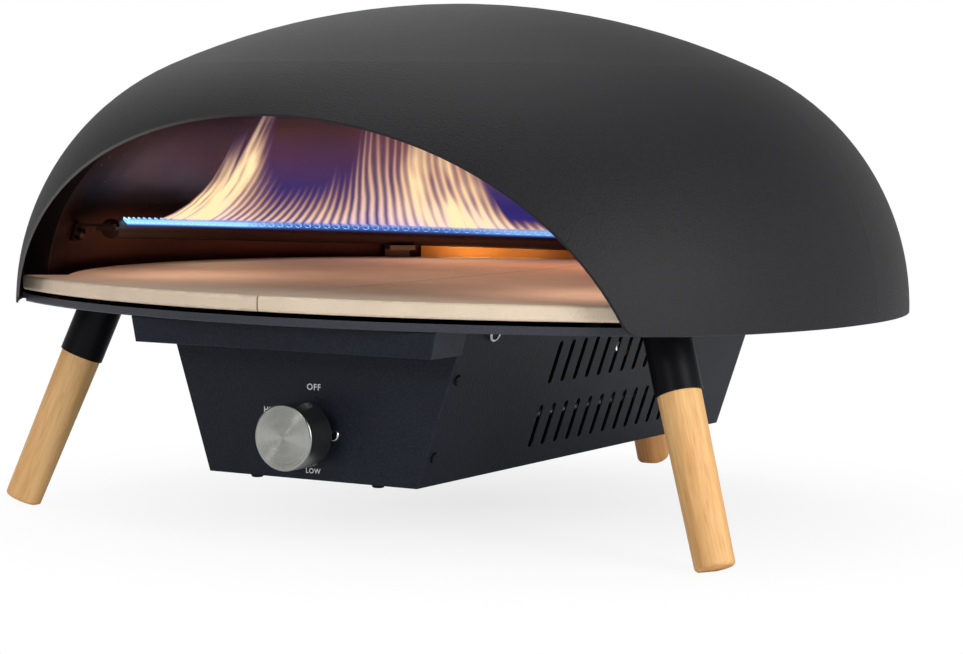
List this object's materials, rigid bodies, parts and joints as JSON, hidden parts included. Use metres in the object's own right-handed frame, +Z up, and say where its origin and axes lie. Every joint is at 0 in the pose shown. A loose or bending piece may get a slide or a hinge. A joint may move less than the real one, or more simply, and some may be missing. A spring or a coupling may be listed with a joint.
{
  "type": "portable gas pizza oven",
  "caption": "Low domed gas pizza oven with an open mouth, split baking stone, horseshoe burner, control box with a push-and-turn knob, and splayed wooden legs.",
  "frame": {"origin": "middle of the overall length and width, on the surface that the legs stand on", "axes": "+Z up; the mouth and the control knob face -Y; +X is to the right of someone who faces the mouth"},
  "size_m": [0.68, 0.6306, 0.3882],
  "materials": {
    "shell_paint": "matt black powder coat, fine texture",
    "liner_steel": "polished stainless sheet, heat tinted",
    "liner_screw_steel": "heat darkened steel",
    "tray_paint": "satin black paint",
    "stone": "unglazed cordierite baking stone",
    "rail_steel": "plain steel strip",
    "burner_steel": "stainless tube, heat tinted",
    "shield_steel": "stainless sheet, straw and bronze heat tint",
    "igniter_ceramic": "white glazed electrode body",
    "box_paint": "satin blue-black powder coat",
    "screw_black": "black oxide steel",
    "bright_steel": "bright zinc or nickel plating",
    "valve_brass": "machined brass",
    "collar_black": "dark moulded collar",
    "knob_steel": "satin turned steel",
    "knob_face_steel": "circular spun finish",
    "pipe_aluminium": "drawn tube",
    "socket_paint": "satin black powder coat",
    "beech": "oiled beech, grain along the leg"
  },
  "bodies": {
    "oven": {"shell": "shell_paint", "liner": "liner_steel", "liner_flange": "liner_steel", "liner_screws": "liner_screw_steel", "base_tray": "tray_paint", "shell_tabs": "tray_paint", "stone_rails": "rail_steel", "burner_ring": "burner_steel", "burner_feed": "burner_steel", "burner_brackets": "burner_steel", "mixer_bell": "burner_steel", "gas_jet": "valve_brass", "rear_shield": "shield_steel", "igniter_ceramic": "igniter_ceramic", "igniter_pin": "bright_steel", "thermocouple": "bright_steel", "box_front": "box_paint", "box_side_left": "box_paint", "box_side_right": "box_paint", "box_bottom": "box_paint", "box_rear": "box_paint", "box_side_screws": "screw_black", "box_bottom_screws": "screw_black", "side_hook": "bright_steel", "hood": "box_paint", "gas_valve": "valve_brass", "valve_screws": "bright_steel", "stem_collar": "collar_black", "inlet_pipe": "pipe_aluminium", "gas_inlet": "valve_brass", "leg_socket_left": "socket_paint", "leg_socket_right": "socket_paint", "leg_socket_rear": "socket_paint", "socket_screws": "screw_black", "leg_left": "beech", "leg_right": "beech", "leg_rear": "beech", "leg_bolts": "bright_steel"},
    "plunger": {"valve_plunger": "valve_brass"},
    "knob": {"valve_stem": "bright_steel", "knob": "knob_steel", "knob_face": "knob_face_steel"},
    "stone_left": {"stone_left": "stone"},
    "stone_right": {"stone_right": "stone"}
  },
  "joints": [
    {"name": "knob_push", "type": "slide", "parent": "oven", "child": "plunger", "axis": [0, 1, 0], "range_m": [0, 0.003], "stiffness_N_per_m": 800, "springref_m": -0.004},
    {"name": "knob_turn", "type": "hinge", "parent": "plunger", "child": "knob", "pos_m": [0, -0.27175, 0.079], "axis": [0, -1, 0], "range_deg": [0, 180]},
    {"name": "stone_left_lift", "type": "slide", "parent": "oven", "child": "stone_left", "axis": [0, 0, 1], "range_m": [0, 0.004]},
    {"name": "stone_right_lift", "type": "slide", "parent": "oven", "child": "stone_right", "axis": [0, 0, 1], "range_m": [0, 0.004]}
  ]
}
